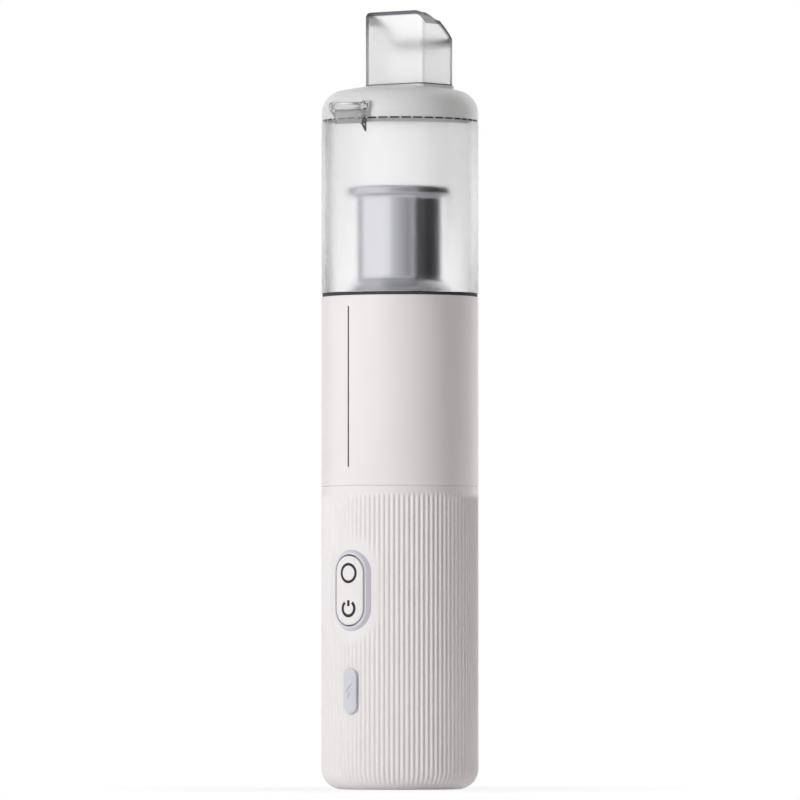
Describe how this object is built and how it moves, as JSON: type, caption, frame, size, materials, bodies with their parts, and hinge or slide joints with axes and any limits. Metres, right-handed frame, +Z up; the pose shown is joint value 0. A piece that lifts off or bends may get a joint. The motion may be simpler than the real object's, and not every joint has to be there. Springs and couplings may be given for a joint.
{
  "type": "handheld vacuum cleaner",
  "caption": "Upright stick-shaped cordless handheld vacuum cleaner with a ribbed grip, rocker key, frosted dust cup, metal filter, hinged cap and clear slanted nozzle.",
  "frame": {"origin": "middle of the base face that the cleaner stands on", "axes": "+Z up along the body to the nozzle, -Y towards the key and the cap hinge, +X to the right of the key"},
  "size_m": [0.06, 0.0647, 0.2974],
  "materials": {
    "warm_white_plastic": "fine satin moulded ABS",
    "lavender_plastic": "satin moulded ABS",
    "grey_silicone": "soft matte silicone",
    "frosted_plastic": "frosted translucent polycarbonate",
    "clear_plastic": "clear moulded polycarbonate",
    "dark_rubber": "matte moulded rubber",
    "flap_rubber": "soft matte silicone",
    "polished_steel": "polished stainless steel",
    "plain_steel": "ground steel",
    "screw_steel": "zinc-plated steel",
    "filter_plastic": "satin moulded ABS",
    "filter_paper": "folded filter paper",
    "inner_plastic": "moulded ABS",
    "fan_plastic": "glass-filled nylon",
    "board": "glass epoxy with green mask",
    "switch_plastic": "moulded nylon",
    "cell_can": "metal can in a shrink sleeve",
    "nickel": "nickel strip",
    "motor_metal": "turned aluminium",
    "magnet": "sintered magnet",
    "copper": "enamelled copper wire"
  },
  "bodies": {
    "body": {"base_cap": "warm_white_plastic", "base_screws": "screw_steel", "grip_shell": "warm_white_plastic", "battery_tray": "inner_plastic", "cell_rear": "cell_can", "cell_left": "cell_can", "cell_right": "cell_can", "cell_strap_top": "nickel", "cell_strap_bottom": "nickel", "battery_lid": "inner_plastic", "lid_screws": "screw_steel", "main_board": "board", "board_screws": "screw_steel", "usb_port": "plain_steel", "usb_tongue": "switch_plastic", "mode_switch": "switch_plastic", "power_switch": "switch_plastic", "key_bezel": "lavender_plastic", "key_pivot_pin": "plain_steel", "sleeve": "warm_white_plastic", "motor_carrier": "inner_plastic", "carrier_screws": "screw_steel", "driver_board": "board", "driver_screws": "screw_steel", "motor_mount": "dark_rubber", "motor_can": "motor_metal", "motor_end_cap": "motor_metal", "bearing_lower": "plain_steel", "bearing_upper": "plain_steel", "stator_core": "plain_steel", "stator_coils": "copper", "diffuser": "inner_plastic", "fan_shroud": "inner_plastic", "shroud_gasket": "dark_rubber", "intake_plate": "inner_plastic", "intake_screws": "screw_steel", "cup_seal": "dark_rubber"},
    "rotor": {"motor_shaft": "plain_steel", "rotor_magnet": "magnet", "impeller": "fan_plastic", "impeller_nut": "plain_steel"},
    "dust_cup": {"dust_cup": "frosted_plastic", "hinge_pin": "polished_steel"},
    "cap": {"front_cap": "frosted_plastic", "cap_seal": "dark_rubber", "flap_pin": "plain_steel"},
    "nozzle": {"nozzle": "clear_plastic", "nozzle_seal": "dark_rubber"},
    "flap": {"inlet_flap": "flap_rubber"},
    "filter": {"filter_seal": "dark_rubber", "filter_base": "filter_plastic", "filter_tube": "polished_steel", "filter_cap": "filter_plastic", "pleated_element": "filter_paper"},
    "key": {"rocker_key": "warm_white_plastic"},
    "port_cover": {"port_cover": "grey_silicone"}
  },
  "joints": [
    {"name": "rotor_spin", "type": "hinge", "parent": "body", "child": "rotor", "pos_m": [0, 0, 0.15], "axis": [0, 0, 1], "continuous": true},
    {"name": "cup_pull", "type": "slide", "parent": "body", "child": "dust_cup", "axis": [0, 0, 1], "range_m": [0, 0.055]},
    {"name": "cap_hinge", "type": "hinge", "parent": "dust_cup", "child": "cap", "pos_m": [0, -0.031, 0.2596], "axis": [1, 0, 0], "range_deg": [0, 100]},
    {"name": "nozzle_pull", "type": "slide", "parent": "cap", "child": "nozzle", "axis": [0, 0, 1], "range_m": [0, 0.02]},
    {"name": "flap_swing", "type": "hinge", "parent": "cap", "child": "flap", "pos_m": [0, -0.0076, 0.25955], "axis": [-1, 0, 0], "range_deg": [0, 45], "stiffness_Nm_per_rad": 0.003, "springref_deg": -17.19},
    {"name": "filter_lift", "type": "slide", "parent": "body", "child": "filter", "axis": [0, 0, 1], "range_m": [0, 0.009]},
    {"name": "key_rock", "type": "hinge", "parent": "body", "child": "key", "pos_m": [0, -0.0279, 0.07565], "axis": [1, 0, 0], "range_deg": [-2.5, 2.5], "stiffness_Nm_per_rad": 0.4},
    {"name": "port_cover_swing", "type": "hinge", "parent": "body", "child": "port_cover", "pos_m": [0, -0.03053, 0.02927], "axis": [1, 0, 0], "range_deg": [0, 110], "stiffness_Nm_per_rad": 0.004}
  ]
}
